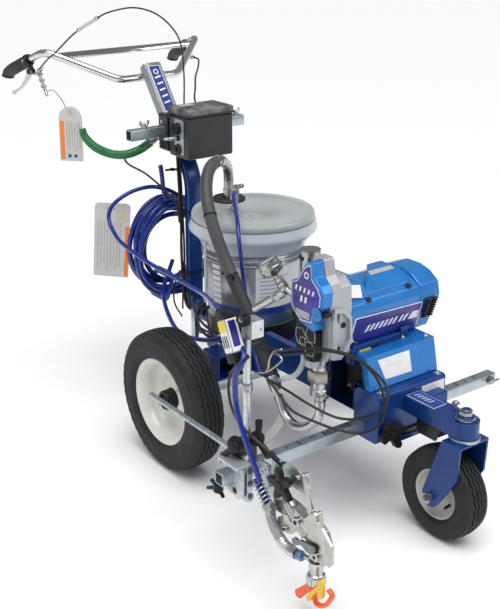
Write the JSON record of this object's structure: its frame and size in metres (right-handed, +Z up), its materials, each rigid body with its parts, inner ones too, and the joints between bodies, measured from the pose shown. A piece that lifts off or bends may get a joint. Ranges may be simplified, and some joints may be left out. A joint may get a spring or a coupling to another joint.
{
  "type": "line striping machine",
  "caption": "Walk-behind airless line striper on three wheels: battery drive and piston pump, paint pail, mast with handlebar, side bar with spray gun and pointer.",
  "frame": {"origin": "on the floor under the middle of the rear axle", "axes": "+X forward towards the swivel caster, +Y to the left of the operator, +Z up"},
  "size_m": [1.8743, 0.9635, 1.2222],
  "materials": {
    "blue_paint": "gloss",
    "blue_plastic": "gloss",
    "silver_casting": "satin",
    "light_blue_paint": "gloss",
    "dark_blue_paint": "gloss",
    "silver_paint": "satin",
    "pail_silver": "satin",
    "white_paint": "gloss",
    "zinc": "satin",
    "chrome": "polished",
    "steel": "satin",
    "aluminium": "satin",
    "black_plastic": "matte",
    "black_metal": "matte",
    "grey_plastic": "matte",
    "blue_rubber": "satin",
    "rubber": "matte",
    "tyre": "matte",
    "orange_plastic": "gloss",
    "yellow_plastic": "gloss"
  },
  "bodies": {
    "chassis": {"frame_tray": "blue_paint", "rear_axle": "zinc", "front_box": "blue_paint", "front_arm": "blue_paint", "caster_lock": "black_metal", "drive_cradle": "blue_paint", "battery_tray": "dark_blue_paint", "battery_pack": "black_plastic", "battery_cover": "light_blue_paint", "mast": "blue_paint", "mast_bracket": "black_metal", "accessory_tube": "zinc", "control_box": "black_plastic", "bearing_housing": "silver_casting", "drive_cover": "blue_plastic", "rod_guard": "black_plastic", "motor_shroud": "blue_plastic", "pump_cylinder": "aluminium", "intake_tube": "aluminium", "suction_hose": "rubber", "suction_pipe": "chrome", "filter_housing": "zinc", "pressure_gauge": "steel", "hose_coil": "blue_rubber", "pail": "pail_silver"},
    "control_box_lid": {"control_box_lid": "black_plastic"},
    "pressure_knob": {"pressure_knob": "black_plastic"},
    "motor_rotor": {"motor_rotor": "steel"},
    "drive_gear": {"drive_gear": "steel"},
    "pump_rod": {"pump_rod": "chrome"},
    "rear_wheel_right": {"rear_tyre_right": "tyre", "rear_rim_right": "white_paint"},
    "rear_wheel_left": {"rear_tyre_left": "tyre", "rear_rim_left": "white_paint"},
    "caster_fork": {"caster_fork": "blue_paint", "caster_axle": "zinc"},
    "caster_wheel": {"caster_tyre": "tyre", "caster_rim": "white_paint"},
    "handle": {"handle_post": "aluminium", "handlebar": "chrome", "grip_right": "rubber", "grip_left": "rubber", "trigger_cable": "black_plastic"},
    "trigger_lever": {"trigger_lever": "aluminium"},
    "lock_lever": {"lock_lever": "aluminium"},
    "pail_lid": {"pail_lid": "grey_plastic"},
    "gun_bar": {"gun_bar": "zinc", "pointer_clamp": "black_metal"},
    "bar_knob": {"bar_knob": "black_plastic"},
    "pointer_rod": {"pointer_rod": "zinc"},
    "pointer_pole": {"pointer_pole": "zinc"},
    "laser_module": {"laser_module": "silver_paint"},
    "gun_carriage": {"gun_carriage": "silver_paint"},
    "carriage_knob": {"carriage_knob": "black_plastic"},
    "gun_arm": {"gun_arm": "silver_paint", "gun_body": "steel", "tip_guard": "orange_plastic"},
    "star_knob": {"star_knob": "black_plastic"},
    "gun_trigger": {"gun_trigger": "aluminium"},
    "spray_tip": {"spray_tip": "yellow_plastic"}
  },
  "joints": [
    {"name": "control_box_lid_hinge", "type": "hinge", "parent": "chassis", "child": "control_box_lid", "pos_m": [-0.405, 0, 0.916], "axis": [0, -1, 0], "range_deg": [0, 95]},
    {"name": "pressure_knob_turn", "type": "hinge", "parent": "chassis", "child": "pressure_knob", "pos_m": [-0.35, -0.082, 0.876], "axis": [0, -1, 0], "range_deg": [0, 270]},
    {"name": "motor_rotor_spin", "type": "hinge", "parent": "chassis", "child": "motor_rotor", "pos_m": [0.425, 0, 0.545], "axis": [0, 1, 0], "continuous": true},
    {"name": "drive_gear_spin", "type": "hinge", "parent": "chassis", "child": "drive_gear", "pos_m": [0.458, -0.18, 0.575], "axis": [0, 1, 0], "continuous": true},
    {"name": "pump_rod_stroke", "type": "slide", "parent": "chassis", "child": "pump_rod", "axis": [0, 0, 1], "range_m": [-0.01, 0.012]},
    {"name": "rear_wheel_right_spin", "type": "hinge", "parent": "chassis", "child": "rear_wheel_right", "pos_m": [0, -0.3525, 0.203], "axis": [0, 1, 0], "continuous": true},
    {"name": "rear_wheel_left_spin", "type": "hinge", "parent": "chassis", "child": "rear_wheel_left", "pos_m": [0, 0.3525, 0.203], "axis": [0, 1, 0], "continuous": true},
    {"name": "caster_swivel", "type": "hinge", "parent": "chassis", "child": "caster_fork", "pos_m": [0.774, 0, 0.296], "axis": [0, 0, 1], "continuous": true},
    {"name": "caster_wheel_spin", "type": "hinge", "parent": "caster_fork", "child": "caster_wheel", "pos_m": [0.72, 0, 0.1235], "axis": [0, 1, 0], "continuous": true},
    {"name": "handle_height", "type": "slide", "parent": "chassis", "child": "handle", "axis": [-0.5976, 0, 0.8018], "range_m": [0, 0.08]},
    {"name": "trigger_lever_pull", "type": "hinge", "parent": "handle", "child": "trigger_lever", "pos_m": [-0.874, -0.298, 0.997], "axis": [-0.166, 0.9861, 0], "range_deg": [0, 18], "stiffness_Nm_per_rad": 2, "springref_deg": -11.46},
    {"name": "lock_lever_pull", "type": "hinge", "parent": "handle", "child": "lock_lever", "pos_m": [-0.874, 0.298, 0.997], "axis": [0.166, 0.9861, 0], "range_deg": [0, 18], "stiffness_Nm_per_rad": 2, "springref_deg": -11.46},
    {"name": "pail_lid_lift", "type": "slide", "parent": "chassis", "child": "pail_lid", "axis": [0, 0, 1], "range_m": [0, 0.045]},
    {"name": "gun_bar_reach", "type": "slide", "parent": "chassis", "child": "gun_bar", "axis": [0, 1, 0], "range_m": [-0.1, 0.06]},
    {"name": "bar_knob_turn", "type": "hinge", "parent": "chassis", "child": "bar_knob", "pos_m": [0.5935, -0.087, 0.262], "axis": [1, 0, 0], "range_deg": [0, 270]},
    {"name": "pointer_rod_slide", "type": "slide", "parent": "gun_bar", "child": "pointer_rod", "axis": [1, 0, 0], "range_m": [-0.03, 0.018]},
    {"name": "pointer_pole_height", "type": "slide", "parent": "gun_bar", "child": "pointer_pole", "axis": [0, 0, 1], "range_m": [0, 0.03]},
    {"name": "laser_tilt", "type": "hinge", "parent": "pointer_pole", "child": "laser_module", "pos_m": [0.5157, -0.4885, 0.624], "axis": [0, 1, 0], "range_deg": [-20, 20]},
    {"name": "gun_carriage_slide", "type": "slide", "parent": "gun_bar", "child": "gun_carriage", "axis": [0, 1, 0], "range_m": [-0.018, 0]},
    {"name": "carriage_knob_turn", "type": "hinge", "parent": "gun_carriage", "child": "carriage_knob", "pos_m": [0.5077, -0.55, 0.241], "axis": [0, 0, 1], "range_deg": [-60, 130]},
    {"name": "gun_arm_angle", "type": "hinge", "parent": "gun_carriage", "child": "gun_arm", "pos_m": [0.6, -0.508, 0.27], "axis": [0, 1, 0], "range_deg": [-20, 12]},
    {"name": "star_knob_turn", "type": "hinge", "parent": "gun_arm", "child": "star_knob", "pos_m": [0.719, -0.5, 0.328], "axis": [0, 1, 0], "range_deg": [0, 270]},
    {"name": "gun_trigger_pull", "type": "hinge", "parent": "gun_arm", "child": "gun_trigger", "pos_m": [0.742, -0.503, 0.346], "axis": [0, 1, 0], "range_deg": [0, 7]},
    {"name": "spray_tip_turn", "type": "hinge", "parent": "gun_arm", "child": "spray_tip", "pos_m": [0.8, -0.49, 0.069], "axis": [0, 1, 0], "range_deg": [0, 180]}
  ],
  "couplings": [
    {"joint": "drive_gear_spin", "follows": "motor_rotor_spin", "ratio": -0.25},
    {"joint": "gun_trigger_pull", "follows": "trigger_lever_pull", "ratio": 0.38}
  ]
}
